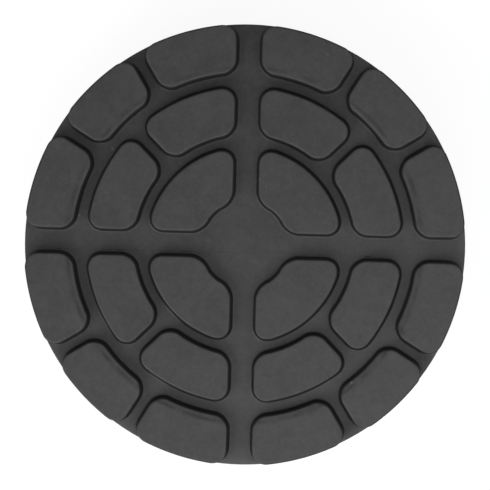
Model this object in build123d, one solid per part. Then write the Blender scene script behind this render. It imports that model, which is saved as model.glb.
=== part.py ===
# A round rubber pad that slips over the steel plate at the end of a vehicle lift's arm.
# It is one moulding, shaped as a shallow cup turned upside down. The top is a tread of raised
# blocks in three rings, parted by a cross of wide grooves. The recess beneath grips the plate.
# Sizes are millimetres. +Z is up, and the origin is the centre of the rim that it stands on.

import os
from math import cos, radians, sin, tan

from build123d import *

# The body
recess_diameter = 120.0       # stretches over a plate of this size
recess_depth = 12.0
recess_lead_in = 1.0          # the bevel that starts the plate into the recess
recess_corner_bevel = 1.0
side_wall = 5.0               # round the recess
web_thickness = 8.5           # between the recess and the floor of the grooves
rim_bevel = 1.0               # outer edge of the rim that it stands on

# The tread, measured at the floor of the grooves, with lengths running out from the centre
tread_depth = 4.5
centre_clearing_radius = 12.4
inner_block_length = 16.9
inner_ring_groove = 2.6
middle_block_length = 15.2
outer_ring_groove = 3.0       # the outer blocks run from here to the edge of the pad
cross_groove_width = 6.2
middle_groove_width = 2.8
outer_groove_width = 2.8
outer_groove_angle = 31.3     # degrees between a cross groove and the nearest outer groove

# The form of a block
wall_draft = 9.0              # degrees
plan_corner_radius = 4.8
largest_corner_share = 0.45   # of a block's shortest side, which limits the corner radius
top_bevel = 0.2
shoulder_width = 2.4          # the outer blocks slope down towards the centre over this width
shoulder_drop = 0.15

recess_radius = recess_diameter / 2
pad_radius = recess_radius + side_wall
floor_level = recess_depth + web_thickness
wall_height = tread_depth - top_bevel
wall_inset = wall_height * tan(radians(wall_draft))

inner_ring = (centre_clearing_radius, centre_clearing_radius + inner_block_length)
middle_start = inner_ring[1] + inner_ring_groove
middle_ring = (middle_start, middle_start + middle_block_length)
outer_ring = (middle_ring[1] + outer_ring_groove, pad_radius)


def groove_edge(groove, side):
    """A groove's left (+1) or right (-1) edge, as a point and the direction away from the centre."""
    angle, width = groove
    direction = Vector(cos(radians(angle)), sin(radians(angle)))
    return Vector(-direction.Y, direction.X) * (side * width / 2), direction


def crossing(first_edge, second_edge):
    """The point near the centre of the pad where two groove edges would meet."""
    (first, first_way), (second, second_way) = first_edge, second_edge
    distance = (second - first).cross(second_way).Z / first_way.cross(second_way).Z
    return first + first_way * distance


def outline(ring, right_groove, left_groove, inset, end_inset):
    """A stretch of a ring between two grooves, drawn in from the block's outline at its foot."""
    start, end = ring[0] + inset, ring[1] - end_inset
    right = groove_edge((right_groove[0], right_groove[1] + 2 * inset), +1)
    left = groove_edge((left_groove[0], left_groove[1] + 2 * inset), -1)
    far = 2 * end
    wedge = Polyline(
        crossing(right, left),
        right[0] + right[1] * far,
        (right[1] + left[1]).normalized() * (2 * far),
        left[0] + left[1] * far,
        close=True,
    )
    plan = (Circle(end) - Circle(start)) & make_face(wedge)
    shortest_side = min(edge.length for edge in plan.edges())
    radius = min(plan_corner_radius - inset, largest_corner_share * shortest_side)
    return fillet(plan.vertices(), radius).face()


def block(ring, right_groove, left_groove):
    """A block with drafted walls and a bevelled top edge. At the pad's edge its wall is upright."""
    at_edge = ring[1] == pad_radius
    levels = (
        (0, 0, 0),
        (wall_height, wall_inset, 0 if at_edge else wall_inset),
        (tread_depth, wall_inset + top_bevel, top_bevel if at_edge else wall_inset + top_bevel),
    )
    outlines = [
        Pos(Z=height) * outline(ring, right_groove, left_groove, inset, end_inset)
        for height, inset, end_inset in levels
    ]
    solid = loft(outlines, ruled=True)
    return solid & outer_crown() if at_edge else solid


def outer_crown():
    """The space under the top of the outer blocks, which slope down towards the centre."""
    slope_start = outer_ring[0] + wall_inset + shoulder_width
    slope_end = outer_ring[0]
    slope_end_height = tread_depth - shoulder_drop * (slope_start - slope_end) / shoulder_width
    far = pad_radius + tread_depth
    section = Polyline(
        (slope_start, tread_depth),
        (slope_end, slope_end_height),
        (0, slope_end_height),
        (0, -tread_depth),
        (far, -tread_depth),
        (far, tread_depth),
        close=True,
    )
    return revolve(Plane.XZ * make_face(section), Axis.Z)


def quarter_blocks():
    """The blocks between two arms of the cross, from the centre outwards."""
    first_cross, next_cross = (0, cross_groove_width), (90, cross_groove_width)
    middle = (45, middle_groove_width)
    first_outer = (outer_groove_angle, outer_groove_width)
    next_outer = (90 - outer_groove_angle, outer_groove_width)
    return [
        block(inner_ring, first_cross, next_cross),
        block(middle_ring, first_cross, middle),
        block(middle_ring, middle, next_cross),
        block(outer_ring, first_cross, first_outer),
        block(outer_ring, first_outer, next_outer),
        block(outer_ring, next_outer, next_cross),
    ]


def body():
    """The pad up to the floor of the grooves, with the recess beneath."""
    with BuildSketch() as section:
        Rectangle(pad_radius, floor_level, align=Align.MIN)
        Rectangle(recess_radius, recess_depth, align=Align.MIN, mode=Mode.SUBTRACT)
        recess_corner = section.vertices().sort_by(Axis.X).filter_by(lambda v: v.Y == recess_depth)[-1]
        chamfer(recess_corner, recess_corner_bevel)
        chamfer(section.vertices().group_by(Axis.Y)[0].sort_by(Axis.X)[-1], rim_bevel)
        chamfer(section.vertices().group_by(Axis.Y)[0].sort_by(Axis.X)[0], recess_lead_in)
    return revolve(Plane.XZ * section.sketch, Axis.Z)


def lift_pad():
    """The whole moulding."""
    quarter = quarter_blocks()
    blocks = [Pos(Z=floor_level) * Rot(Z=turn) * one for turn in range(0, 360, 90) for one in quarter]
    return body() + blocks


if __name__ == "__main__":
    os.makedirs("parts", exist_ok=True)
    export_step(lift_pad(), "parts/lift_pad.step")
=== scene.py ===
from math import atan2, cos, degrees, pi, radians, sin, tan

import bmesh
import bpy
from mathutils import Matrix, Vector, noise


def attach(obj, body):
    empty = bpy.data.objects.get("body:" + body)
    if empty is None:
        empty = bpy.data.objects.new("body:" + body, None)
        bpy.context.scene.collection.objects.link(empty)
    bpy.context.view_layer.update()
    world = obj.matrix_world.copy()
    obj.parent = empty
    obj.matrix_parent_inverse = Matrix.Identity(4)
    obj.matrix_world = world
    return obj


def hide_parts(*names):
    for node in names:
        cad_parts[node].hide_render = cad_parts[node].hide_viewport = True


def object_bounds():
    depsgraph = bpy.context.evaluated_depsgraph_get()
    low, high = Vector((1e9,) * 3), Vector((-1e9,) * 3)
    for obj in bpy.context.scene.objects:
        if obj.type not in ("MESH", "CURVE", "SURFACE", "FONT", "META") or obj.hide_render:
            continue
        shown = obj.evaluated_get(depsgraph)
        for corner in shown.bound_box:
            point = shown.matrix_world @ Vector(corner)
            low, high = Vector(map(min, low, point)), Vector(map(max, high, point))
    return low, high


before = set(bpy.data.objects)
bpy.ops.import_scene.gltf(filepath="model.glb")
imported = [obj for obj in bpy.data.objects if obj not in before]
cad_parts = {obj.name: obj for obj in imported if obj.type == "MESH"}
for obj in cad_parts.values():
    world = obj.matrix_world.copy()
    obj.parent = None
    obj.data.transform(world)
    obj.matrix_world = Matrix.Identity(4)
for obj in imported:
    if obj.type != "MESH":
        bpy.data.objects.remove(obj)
cadLow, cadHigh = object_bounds()
print("frame loaded")

mm = 0.001
scene = bpy.context.scene


# The tread. Lengths are in mm, measured out from the centre at the floor of the grooves.
tread = {
    "depth": 4.5,
    "innerRing": (12.4, 29.3),
    "middleRing": (31.9, 47.1),
    "outerRing": (50.1, 65.0),      # ends at the rim of the pad
    "crossGroove": 6.2,
    "middleGroove": 2.8,
    "outerGroove": 2.8,
    "outerGrooveAngle": 31.3,
    "draft": 9.0,                   # degrees that the walls lean in
    "cornerRadius": 4.8,            # in plan, at the foot
    "footRadius": 0.5,
    "topRadius": 0.5,
    "edgeMargin": 0.3,              # flat strip beside a rounding, which keeps its shading crisp
    "shoulder": (50.8, 53.2),       # the outer blocks slope down towards the centre between these radii
    "shoulderDrop": 0.15,
    "wander": 0.05,                 # how far walls and tops stray from true
    "wanderSize": 5.0,
    "pointSpacing": 0.7,            # along an outline
    "trueing": 0.06,                # points of an outline this near to its arc are put on it
    "cornerSegments": 10,
    "roundSegments": 5,
}

# The cup beneath: (radius, height, radius of the rounding there), from the rim of the tread down and in.
cup = {
    "profile": ((65.0, 0.0, 1.0), (60.0, 0.0, 0.8), (60.0, 12.0, 1.0)),
    "roundSegments": 6,
    "edgeMargin": 0.4,
    "gapRound": 0.35,               # where the floor of a groove turns down at the rim
    "gapSegments": 4,
    "gapBlend": 2.5,                # over which that rounding fades in, from the blocks
}

padRadius = tread["outerRing"][1]
floorLevel = cadHigh.z / mm - tread["depth"]


def roundedOutline(bm, ring, rightGroove, leftGroove, spread):
    # a stretch of a ring between two grooves, as one face, grown by the spread
    end = ring[1] + (0 if ring[1] == padRadius else spread)
    (firstAngle, firstWidth), (lastAngle, lastWidth) = rightGroove, leftGroove
    turn = radians(lastAngle - firstAngle)
    ends = [bm.verts.new(Matrix.Rotation(radians(firstAngle), 4, "Z") @ Vector((r, 0, floorLevel)))
            for r in (ring[0] - spread, end)]
    bmesh.ops.spin(bm, geom=[*ends, bm.edges.new(ends)], cent=(0, 0, 0), axis=(0, 0, 1), angle=turn,
                   steps=round(turn * end / tread["pointSpacing"]))
    for angle, width, side in ((firstAngle, firstWidth, 1), (lastAngle, lastWidth, -1)):
        across = Vector((-sin(radians(angle)), cos(radians(angle)), 0)) * side
        bmesh.ops.bisect_plane(bm, geom=[*bm.verts, *bm.edges, *bm.faces], plane_co=across * (width / 2 - spread),
                               plane_no=-across, clear_outer=True)
    bmesh.ops.dissolve_limit(bm, angle_limit=radians(0.05), verts=bm.verts, edges=bm.edges)
    bm.faces.ensure_lookup_table()
    corners = sorted(bm.faces[0].loops, key=lambda loop: abs(pi - loop.calc_angle()))[-4:]
    cuts = {loop.vert: (tread["cornerRadius"] + spread) / tan(loop.calc_angle() / 2) for loop in corners}
    crowded = [v for v in bm.verts if v not in cuts
               and any((v.co - c.co).length < cuts[c] + 0.6 * tread["pointSpacing"] for c in cuts)]
    bmesh.ops.dissolve_verts(bm, verts=crowded)
    for corner, cut in cuts.items():
        bmesh.ops.bevel(bm, geom=[corner], offset=cut, segments=tread["cornerSegments"],
                        profile=0.5, affect="VERTICES", material=-1)
    for edge in list(bm.edges):
        pieces = round(edge.calc_length() / tread["pointSpacing"])
        if pieces > 1:
            bmesh.ops.subdivide_edges(bm, edges=[edge], cuts=pieces - 1)
    for v in bm.verts:
        for radius in (ring[0] - spread, end):
            if abs(v.co.xy.length - radius) < tread["trueing"]:
                v.co.xy = v.co.xy.normalized() * radius
    bm.faces.ensure_lookup_table()
    face = bm.faces[0]
    if face.normal.z < 0:
        face.normal_flip()
    return face


def wallSteps():
    # (inset, rise) of each ring of faces from the floor to the top, and which of them the rim follows
    lean = radians(tread["draft"])
    foot, top, n = tread["footRadius"], tread["topRadius"], tread["roundSegments"]
    footReach = foot * tan(pi / 4 - lean / 2)
    topReach = top * tan(pi / 4 - lean / 2)
    crest = tread["depth"] * tan(lean)
    points = [(-footReach - tread["edgeMargin"], 0), (-footReach, 0)]
    for i in range(1, n + 1):
        a = (pi / 2 - lean) * i / n
        points.append((-footReach + foot * sin(a), foot * (1 - cos(a))))
    wallPoints = len(points) + 3
    wallStart, wallEnd = points[-1], (crest + topReach - top * cos(lean), tread["depth"] - top + top * sin(lean))
    for share in (1 / 3, 2 / 3, 1):
        points.append(tuple(a + (b - a) * share for a, b in zip(wallStart, wallEnd)))
    for i in range(1, n + 1):
        a = lean + (pi / 2 - lean) * i / n
        points.append((crest + topReach - top * cos(a), tread["depth"] - top + top * sin(a)))
    steps = [(b[0] - a[0], b[1] - a[1]) for a, b in zip(points, points[1:])]
    return [(*step, i + 1 < wallPoints) for i, step in enumerate(steps)], -points[0][0]


def raiseBlock(bm, face, ring, steps):
    # the face climbs the wall by insets, and its rim end stays on the rim until the top edge rounds it
    atRim = ring[1] == padRadius
    rimStart = padRadius - tread["cornerRadius"] - 1
    topRings = [(tread["edgeMargin"], 0, False)]
    if atRim:
        topRings += [(0.5, 0, False)] * 5
    for inset, rise, followsRim in steps + topRings:
        bmesh.ops.inset_region(bm, faces=[face], thickness=inset, depth=rise, use_even_offset=True, use_boundary=True)
        if atRim and followsRim:
            for v in face.verts:
                if v.co.xy.length > rimStart:
                    v.co.xy += v.co.xy.normalized() * inset
    return face


def onRim(v):
    return abs(v.co.xy.length - padRadius) < 0.005 and abs(v.co.z - floorLevel) < 0.001


def around(v):
    return atan2(v.co.y, v.co.x) % (2 * pi)


def quarterBlocks():
    # the blocks between two arms of the cross, from the centre outwards
    steps, spread = wallSteps()
    first, last = (0, tread["crossGroove"]), (90, tread["crossGroove"])
    middle = (45, tread["middleGroove"])
    nearOuter = (tread["outerGrooveAngle"], tread["outerGroove"])
    farOuter = (90 - tread["outerGrooveAngle"], tread["outerGroove"])
    quarter = bmesh.new()
    for ring, right, left in (("innerRing", first, last), ("middleRing", first, middle), ("middleRing", middle, last),
                              ("outerRing", first, nearOuter), ("outerRing", nearOuter, farOuter),
                              ("outerRing", farOuter, last)):
        bm = bmesh.new()
        face = roundedOutline(bm, tread[ring], right, left, spread)
        raiseBlock(bm, face, tread[ring], steps)
        joinInto(quarter, bm)
    return quarter


def joinInto(bm, part):
    mesh = bpy.data.meshes.new("part")
    part.to_mesh(mesh)
    part.free()
    bm.from_mesh(mesh)
    bpy.data.meshes.remove(mesh)


def rimGaps(bm):
    # the stretches of the rim between the outer blocks, as (first angle, last angle)
    ends = [v for v in bm.verts if onRim(v) and sum(onRim(e.other_vert(v)) for e in v.link_edges if e.is_boundary) == 1]
    ends.sort(key=around)
    ends.append(ends[0])
    gaps, arcs = [], bmesh.new()
    for first, last in zip(ends[1::2], ends[2::2]):
        turn = (around(last) - around(first)) % (2 * pi)
        bmesh.ops.spin(arcs, geom=[arcs.verts.new(first.co)], cent=(0, 0, 0), axis=(0, 0, 1), angle=turn,
                       steps=round(turn * padRadius / tread["pointSpacing"]))
        gaps.append((around(first), turn))
    joinInto(bm, arcs)
    return gaps


def gapShare(v, gaps):
    # 0 along the blocks, rising to 1 inside a gap of the rim
    for start, turn in gaps:
        along = (around(v) - start) % (2 * pi)
        if along < turn:
            return smooth(min(along, turn - along) * padRadius / cup["gapBlend"])
    return 0


def smooth(share):
    share = min(max(share, 0), 1)
    return share * share * (3 - 2 * share)


def cupRings():
    # (radius, height) of each ring, from below the rounded rim of the tread to the middle of the recess
    points, n = [], cup["roundSegments"]
    corners = [(padRadius, floorLevel, 0), *cup["profile"], (0, cup["profile"][-1][1], 0)]
    for before, (r, z, round_), after in zip(corners, corners[1:], corners[2:]):
        inWay = (Vector(before[:2]) - Vector((r, z))).normalized()
        outWay = (Vector(after[:2]) - Vector((r, z))).normalized()
        centre = Vector((r, z)) + (inWay + outWay) * round_
        points.append(Vector((r, z)) + inWay * (round_ + cup["edgeMargin"]))
        points += [centre - outWay * (round_ * cos(pi / 2 * i / n)) - inWay * (round_ * sin(pi / 2 * i / n))
                   for i in range(n + 1)]
        points.append(Vector((r, z)) + outWay * (round_ + cup["edgeMargin"]))
    return points


def weather(bm):
    # steps the outer blocks down at their shoulders, and lets every wall and top stray a little
    inner, outer = tread["shoulder"]
    wallTop = floorLevel + tread["depth"] * 0.8
    for v in bm.verts:
        radius, rise = v.co.xy.length, v.co.z - floorLevel
        if v.co.z > wallTop and radius > tread["middleRing"][1] + 1:
            v.co.z -= tread["shoulderDrop"] * smooth((outer - radius) / (outer - inner))
        if rise > 0.01:
            stray = noise.noise_vector(v.co / tread["wanderSize"]) * tread["wander"] * smooth(rise)
            stray.xy *= smooth((padRadius - radius) / 1.5)
            v.co += stray


def buildPad():
    bm = quarterBlocks()
    bmesh.ops.spin(bm, geom=[*bm.verts, *bm.edges, *bm.faces], cent=(0, 0, 0), axis=(0, 0, 1),
                   angle=radians(270), steps=3, use_duplicate=True)
    gaps = rimGaps(bm)
    bmesh.ops.remove_doubles(bm, verts=bm.verts, dist=0.002)
    weather(bm)
    print("blocks raised", len(bm.faces))

    # the floor of the grooves, with its rim pulled in where it turns down between the blocks
    for v in bm.verts:
        if onRim(v):
            v.co.xy *= 1 - cup["gapRound"] * gapShare(v, gaps) / padRadius
    floorEdges = [e for e in bm.edges if e.is_wire or (e.is_boundary and not all(onRim(v) for v in e.verts))]
    bmesh.ops.triangle_fill(bm, use_beauty=True, edges=floorEdges, normal=(0, 0, 1))
    print("floor filled", len(bm.faces))

    # down the side, under and up into the recess, as a skirt that hangs from the rim
    skirt = bm.copy()
    inside = [e for e in skirt.edges if not e.is_boundary]
    bmesh.ops.delete(skirt, geom=inside, context="EDGES")
    bmesh.ops.delete(skirt, geom=skirt.faces, context="FACES_ONLY")
    edges = list(skirt.edges)
    turned = [pi / 2 * i / cup["gapSegments"] for i in range(1, cup["gapSegments"] + 1)]
    rings = [(None, a) for a in turned] + cupRings()
    for radius, height in rings:
        made = bmesh.ops.extrude_edge_only(skirt, edges=edges)["geom"]
        edges = [g for g in made if isinstance(g, bmesh.types.BMEdge)]
        for v in {v for e in edges for v in e.verts}:
            if radius is None:
                pull = cup["gapRound"] * gapShare(v, gaps) * (1 - sin(height))
                v.co.xy = v.co.xy.normalized() * (padRadius - pull)
                v.co.z = floorLevel - cup["gapRound"] * (1 - cos(height))
            else:
                v.co.xy = v.co.xy.normalized() * radius
                v.co.z = height
    bmesh.ops.contextual_create(skirt, geom=edges)
    joinInto(bm, skirt)
    bmesh.ops.remove_doubles(bm, verts=bm.verts, dist=0.002)
    bmesh.ops.recalc_face_normals(bm, faces=bm.faces)
    loose = [e for e in bm.edges if len(e.link_faces) != 2]
    print("pad closed", len(bm.faces), "faces,", len(loose), "open edges")
    return bm


def makePad(material):
    bm = buildPad()
    bmesh.ops.scale(bm, vec=(mm, mm, mm), verts=bm.verts)
    mesh = bpy.data.meshes.new("pad")
    bm.to_mesh(mesh)
    bm.free()
    mesh.shade_smooth()
    pad = bpy.data.objects.new("pad", mesh)
    scene.collection.objects.link(pad)
    mesh.materials.append(material)
    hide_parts("lift_pad")
    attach(pad, "root")
    return pad


class Wire:  # a node's output, so that shader maths can be written as maths
    def __init__(self, nodes, socket):
        self.nodes, self.socket = nodes, socket

    def maths(self, operation, first, second):
        return self.nodes.add("ShaderNodeMath", {"operation": operation}, {0: first, 1: second})

    def __add__(self, other):
        return self.maths("ADD", self, other)

    def __radd__(self, other):
        return self.maths("ADD", other, self)

    def __sub__(self, other):
        return self.maths("SUBTRACT", self, other)

    def __rsub__(self, other):
        return self.maths("SUBTRACT", other, self)

    def __mul__(self, other):
        return self.maths("MULTIPLY", self, other)

    def __rmul__(self, other):
        return self.maths("MULTIPLY", other, self)

    def __truediv__(self, other):
        return self.maths("DIVIDE", self, other)

    def __pow__(self, other):
        return self.maths("POWER", self, other)


class Nodes:  # the node tree of one material or world
    def __init__(self, owner):
        owner.use_nodes = True
        self.tree = owner.node_tree
        self.tree.nodes.clear()

    def add(self, kind, settings, inputs, output=0):
        node = self.tree.nodes.new(kind)
        for name, value in settings.items():
            if name == "stops":
                ramp = node.color_ramp
                for i, (place, shade) in enumerate(value):
                    stop = ramp.elements[i] if i < len(ramp.elements) else ramp.elements.new(place)
                    stop.position, stop.color = place, (shade, shade, shade, 1)
            else:
                setattr(node, name, value)
        for name, value in inputs.items():
            if isinstance(value, Wire):
                self.tree.links.new(value.socket, node.inputs[name])
            else:
                node.inputs[name].default_value = value
        return Wire(self, node.outputs[output]) if node.outputs else None

    def ease(self, value, low, high):  # 0 below low, 1 above high, with a soft start and end
        return self.add("ShaderNodeMapRange", {"interpolation_type": "SMOOTHSTEP"},
                        {"Value": value, "From Min": low, "From Max": high})

    def noise(self, place, size, detail=2, roughness=0.5, seed=0):  # about 0 to 1, with lumps of this size in metres
        return self.add("ShaderNodeTexNoise", {"noise_dimensions": "4D"},
                        {"Vector": place, "W": seed, "Scale": 1 / size, "Detail": detail, "Roughness": roughness})


rubber = {
    "bloom": 0.034,                 # colour of the grey film on flat surfaces
    "bareAndShadedFoot": 0.003,                  # and of the foot of a wall: bare rubber, which the film doesn't reach, made darker still as painted shade
    "wallTop": 0.012,               # and of the wall's upper edge, to which that painted shade fades
    "side": 0.022,                  # and of the side and the underside
    "roughness": 0.45,
    "bareRoughness": 0.95,
    "shine": 0.22,
    "paintedLightLean": (0.05, 0.30),       # painted light: how much lighter the pad is made towards one side, on the tops and in the grooves
    "paintedLightHeading": 288,             # degrees round to where it is made lightest
    "rimDip": (0.16, 56, 9),        # how much darker the grooves are made, and at which radius within how far, in mm
    "shoulder": (52.6, 53.6, 0.10),  # the tops are darker inside these radii, by this share
    "crease": (51.7, 52.7, 0.45),   # radii of a darker broken band along the shoulders, and how much darker it is
    "rimLine": (64.4, 64.9, 0.75),  # painted shade: the tops are darkened beyond these radii, by this share, for the shade on the rounded edge at the rim
    "rimStrip": (62.8, 63.8, 0.12),  # painted highlight: the groove floors are lighter beyond these radii, by this share, where their edge rounds over at the rim
}

# Marks on the tread: (across, up, size) in mm from the middle of the pad, and the change in the film.
marks = [
    (-39.7, 27.3, 0.32, 1.3), (-40.2, 27.8, 0.25, 0.6), (4.1, 19.5, 0.3, 0.9), (6.0, 17.4, 0.25, 0.7),
    (2.9, 19.0, 0.22, 0.6), (23.1, 56.6, 0.35, 0.8), (-19.8, 23.8, 0.25, 0.9), (-10.8, 1.1, 0.25, 0.8),
    (32.5, -39.5, 0.35, 1.6), (-8.5, 52.5, 0.3, 0.5), (-14.6, 44.9, 0.4, 0.6), (-49.2, 7.4, 0.4, 1.0),
    (46.6, -24.8, 1.3, -0.3), (14.8, 4.6, 0.6, -0.3), (53.2, -35.5, 0.9, -0.3), (53.4, 31.3, 1.2, -0.3),
    (21.2, -48.0, 1.6, -0.2), (32.6, -53.6, 3.2, -0.5), (53.6, -32.6, 3.0, -0.5),
    (48.0, -2.8, 3.0, 0.08), (-15.6, -15.6, 2.5, 0.06), (-28.0, -40.0, 3.0, 0.05),
]


def rubberMaterial():
    material = bpy.data.materials.new("rubber")
    nodes = Nodes(material)
    place = nodes.add("ShaderNodeTexCoord", {}, {}, "Object")
    facing = nodes.add("ShaderNodeTexCoord", {}, {}, "Normal")
    facingUp = nodes.add("ShaderNodeSeparateXYZ", {}, {0: facing}, "Z")
    height = nodes.add("ShaderNodeSeparateXYZ", {}, {0: place}, "Z")
    level = nodes.add("ShaderNodeVectorMath", {"operation": "MULTIPLY"}, {0: place, 1: (1, 1, 0)})
    radius = nodes.add("ShaderNodeVectorMath", {"operation": "LENGTH"}, {0: level}, "Value")
    treadTop = (floorLevel + tread["depth"]) * mm
    onTop = nodes.ease(height, treadTop - 0.8 * mm, treadTop - 0.4 * mm)
    inTread = nodes.ease(height, (floorLevel - 0.4) * mm, (floorLevel - 0.1) * mm)

    # the film: cloudy, with drawn-out flow marks; and painted light, lighter towards one side
    cloudy = nodes.noise(place, 0.010, detail=3, seed=2) - 0.5
    warp = nodes.add("ShaderNodeTexNoise", {"noise_dimensions": "4D"}, {"Vector": place, "W": 4.0, "Scale": 60}, "Color")
    drawn = nodes.add("ShaderNodeVectorMath", {"operation": "MULTIPLY_ADD"}, {0: warp, 1: (0.02, 0.02, 0), 2: place})
    flow = nodes.noise(drawn, 0.0035, detail=4, roughness=0.6, seed=6) - 0.5
    fine = nodes.noise(place, 0.0009, detail=3, seed=5) - 0.5
    # painted light: the tops and, more so, the grooves are made lighter towards this heading, where more light falls
    heading = radians(rubber["paintedLightHeading"])
    toward = (cos(heading) / padRadius / mm, sin(heading) / padRadius / mm, 0)
    along = nodes.add("ShaderNodeVectorMath", {"operation": "DOT_PRODUCT"}, {0: place, 1: toward}, "Value")
    leanTop, leanFloor = rubber["paintedLightLean"]
    dip, dipRadius, dipWidth = rubber["rimDip"]
    away = nodes.add("ShaderNodeMath", {"operation": "ABSOLUTE"}, {0: radius - dipRadius * mm})
    nearDip = nodes.ease(away, dipWidth * mm, 0.0) * (1 - onTop)
    patchy = nodes.noise(place, 0.0022, detail=4, roughness=0.6, seed=11) - 0.5
    filmAndPaintedLight = 1 + 0.55 * cloudy + 0.5 * flow + 0.4 * patchy + 0.6 * fine
    filmAndPaintedLight = filmAndPaintedLight + along * (leanFloor - onTop * (leanFloor - leanTop)) - dip * nearDip

    # the shoulders of the outer blocks, with a darker broken band along a crease
    start, end, shoulderDarkening = rubber["shoulder"]
    filmAndPaintedLight = filmAndPaintedLight * (1 - shoulderDarkening * onTop * nodes.ease(radius, end * mm, start * mm) * nodes.ease(radius, 0.0495, 0.0505))
    start, end, creaseDarkening = rubber["crease"]
    wavy = radius + 0.0008 * (nodes.noise(place, 0.005, detail=2, seed=3) - 0.5)
    crease = nodes.ease(wavy, (start - 0.3) * mm, (start + 0.3) * mm) * nodes.ease(wavy, (end + 0.3) * mm, (end - 0.3) * mm)
    broken = nodes.ease(nodes.noise(place, 0.006, detail=4, roughness=0.65, seed=8), 0.40, 0.60)
    filmAndPaintedLight = filmAndPaintedLight * (1 - creaseDarkening * crease * broken * onTop)

    # painted shade along the rounded top edge at the rim
    start, end, rimEdgeShade = rubber["rimLine"]
    filmAndPaintedLight = filmAndPaintedLight * (1 - rimEdgeShade * onTop * nodes.ease(radius, start * mm, end * mm))
    # painted highlight along the rounded rim of the groove floors
    start, end, rimFloorHighlight = rubber["rimStrip"]
    filmAndPaintedLight = filmAndPaintedLight * (1 + rimFloorHighlight * (1 - onTop) * nodes.ease(radius, start * mm, end * mm))

    for across, up, size, change in marks:
        away = nodes.add("ShaderNodeVectorMath", {"operation": "DISTANCE"}, {0: level, 1: (across * mm, up * mm, 0)}, "Value")
        filmAndPaintedLight = filmAndPaintedLight + change * nodes.ease(away, size * mm * 1.5, size * mm * 0.4)

    flat = nodes.ease(facingUp, 0.2, 0.95)
    # the walls: bare rubber, with painted shade that deepens from the upper edge down to the foot
    wall = rubber["bareAndShadedFoot"] + (rubber["wallTop"] - rubber["bareAndShadedFoot"]) * nodes.ease(height, treadTop - 2.5 * mm, treadTop)
    inside = wall + flat * (rubber["bloom"] * filmAndPaintedLight - wall)
    outside = rubber["side"] * (1 + 0.6 * cloudy + 0.3 * fine)
    shade = outside + inTread * (inside - outside)
    colour = nodes.add("ShaderNodeCombineColor", {}, {0: shade, 1: shade, 2: shade * 1.01})
    rough = rubber["bareRoughness"] + flat * (rubber["roughness"] - rubber["bareRoughness"] + 0.3 * cloudy + 0.15 * flow)
    grain = nodes.noise(place, 0.00035, detail=2, seed=7) * 0.6 + nodes.noise(place, 0.003, detail=2, seed=9)
    bump = nodes.add("ShaderNodeBump", {}, {"Height": grain, "Distance": 0.00006, "Strength": 0.5})
    shader = nodes.add("ShaderNodeBsdfPrincipled", {}, {
        "Base Color": colour, "Roughness": rough,
        "Normal": bump, "Specular IOR Level": rubber["shine"]})
    nodes.add("ShaderNodeOutputMaterial", {}, {"Surface": shader})
    return material


studio = {
    "viewDistance": 1000.0,
    "frameWidth": 144.6,            # across the picture, at the floor of the grooves
    "viewTilt": (1.4, 1.4),         # degrees that the camera stands off the axis, to the picture's right and top
    "viewTurn": 1.47,               # degrees that the picture's axes are turned, anticlockwise
    "aim": (0.10, -0.05),           # the picture's middle, right of and above the pad's
    "world": 0.25,
    "floorSize": 1600.0,
    "floorColour": 0.9,
    "floorGlow": 0.88,              # share of the floor's look that stays white in a shadow
    # name: (degrees round from the picture's right, degrees up, distance, width, height, watts)
    "lamps": {
        "key": (225, 38, 700, 400, 400, 3.3),
        "near": (315, 60, 450, 400, 400, 1.0),
        "low": (270, 35, 700, 400, 400, 1.1),
    },
}


def pictureAxes():
    turn = Matrix.Rotation(radians(studio["viewTurn"]), 3, "Z")
    return turn @ Vector((1, 0, 0)), turn @ Vector((0, 1, 0))


def lookAlong(position, target, upward):
    back = (position - target).normalized()
    right = upward.cross(back).normalized()
    turned = Matrix((right, back.cross(right), back)).transposed().to_4x4()
    return Matrix.Translation(position) @ turned


def makeCamera():
    right, up = pictureAxes()
    data = bpy.data.cameras.new("camera")
    data.sensor_width = 36
    data.lens = data.sensor_width * studio["viewDistance"] / studio["frameWidth"]
    data.clip_start, data.clip_end = 0.05, 10
    aim = Vector((0, 0, floorLevel)) + right * studio["aim"][0] + up * studio["aim"][1]
    tiltRight, tiltUp = (tan(radians(a)) for a in studio["viewTilt"])
    away = (Vector((0, 0, 1)) + right * tiltRight + up * tiltUp).normalized()
    camera = bpy.data.objects.new("camera", data)
    camera.matrix_world = lookAlong((aim + away * studio["viewDistance"]) * mm, aim * mm, up)
    scene.collection.objects.link(camera)
    scene.camera = camera


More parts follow.
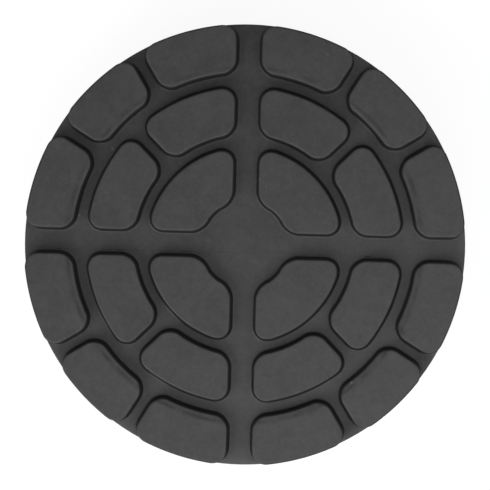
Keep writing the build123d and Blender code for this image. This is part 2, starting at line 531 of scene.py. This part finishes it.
def makeLamps():
    for name, (heading, height, distance, width, length, watts) in studio["lamps"].items():
        data = bpy.data.lights.new(name, "AREA")
        data.shape, data.size, data.size_y, data.energy = "RECTANGLE", width * mm, length * mm, watts
        flat = Matrix.Rotation(radians(studio["viewTurn"] + heading), 3, "Z") @ Vector((1, 0, 0))
        position = (flat * cos(radians(height)) + Vector((0, 0, sin(radians(height))))) * distance * mm
        lamp = bpy.data.objects.new(name, data)
        lamp.matrix_world = lookAlong(position, Vector((0, 0, 0)), Vector((0, 0, 1)))
        scene.collection.objects.link(lamp)


def makeWorld():
    world = bpy.data.worlds.new("world")
    scene.world = world
    nodes = Nodes(world)
    path = nodes.add("ShaderNodeLightPath", {}, {}, "Is Camera Ray")
    outputs = path.socket.node.outputs
    seen = path + Wire(nodes, outputs["Is Glossy Ray"]) + Wire(nodes, outputs["Is Transmission Ray"])
    strength = studio["world"] + seen * (1 - studio["world"])
    light = nodes.add("ShaderNodeBackground", {}, {"Color": (1, 1, 1, 1), "Strength": strength})
    nodes.add("ShaderNodeOutputWorld", {}, {"Surface": light})


def makeFloor():
    material = bpy.data.materials.new("floor")
    nodes = Nodes(material)
    path = nodes.add("ShaderNodeLightPath", {}, {}, "Is Camera Ray")
    grey = studio["floorColour"]
    matt = nodes.add("ShaderNodeBsdfDiffuse", {}, {"Color": (grey, grey, grey, 1)})
    glow = nodes.add("ShaderNodeEmission", {}, {"Color": (1, 1, 1, 1), "Strength": 1.05})
    top = nodes.add("ShaderNodeMixShader", {}, {0: path * studio["floorGlow"], 1: matt, 2: glow})
    clear = nodes.add("ShaderNodeBsdfTransparent", {}, {})
    below = nodes.add("ShaderNodeNewGeometry", {}, {}, "Backfacing")
    both = nodes.add("ShaderNodeMixShader", {}, {0: below, 1: top, 2: clear})
    nodes.add("ShaderNodeOutputMaterial", {}, {"Surface": both})
    bm = bmesh.new()
    bmesh.ops.create_circle(bm, cap_ends=True, segments=64, radius=studio["floorSize"] * mm)
    mesh = bpy.data.meshes.new("floor")
    bm.to_mesh(mesh)
    bm.free()
    mesh.materials.append(material)
    floor = bpy.data.objects.new("floor", mesh)
    floor.location.z = -0.00005
    scene.collection.objects.link(floor)


makePad(rubberMaterial())
print("pad made")
makeFloor()
makeWorld()
makeLamps()
makeCamera()
scene.view_settings.view_transform = "Standard"
print("studio set")
